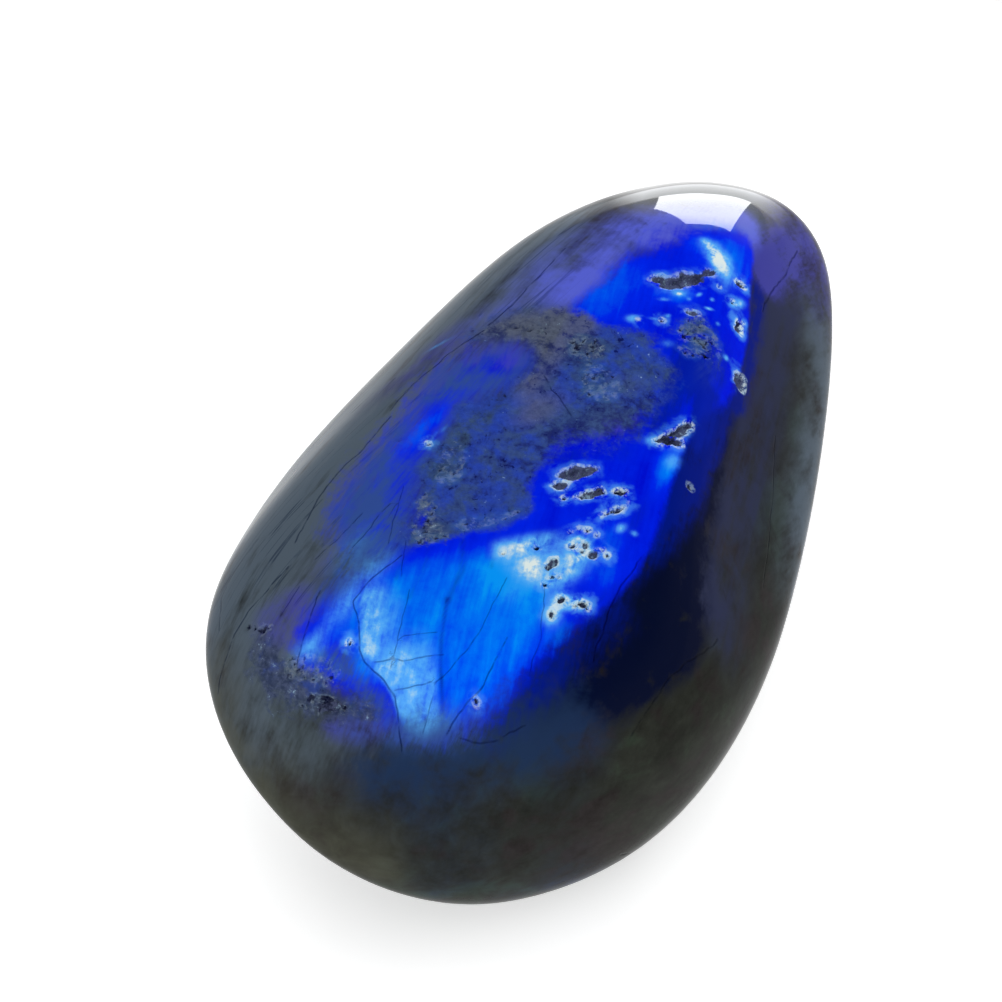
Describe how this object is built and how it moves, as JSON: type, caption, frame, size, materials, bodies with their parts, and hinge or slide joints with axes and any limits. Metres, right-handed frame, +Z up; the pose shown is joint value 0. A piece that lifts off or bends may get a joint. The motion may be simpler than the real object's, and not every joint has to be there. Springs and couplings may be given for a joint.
{
  "type": "tumbled moonstone",
  "caption": "Polished egg-shaped feldspar pebble, dark grey with an electric-blue flash, softened by worn flats and small open pits, lying on its flattest side.",
  "frame": {"origin": "on the resting flat, under the middle of the stone's outline seen from above", "axes": "+Y along the long axis towards the narrow end, +Z up from the resting flat through the crown, +X towards the flank beside the open pits"},
  "size_m": [0.0284, 0.0464, 0.0219],
  "materials": {
    "stone": "polished"
  },
  "bodies": {
    "root": {"stone": "stone"}
  },
  "joints": []
}
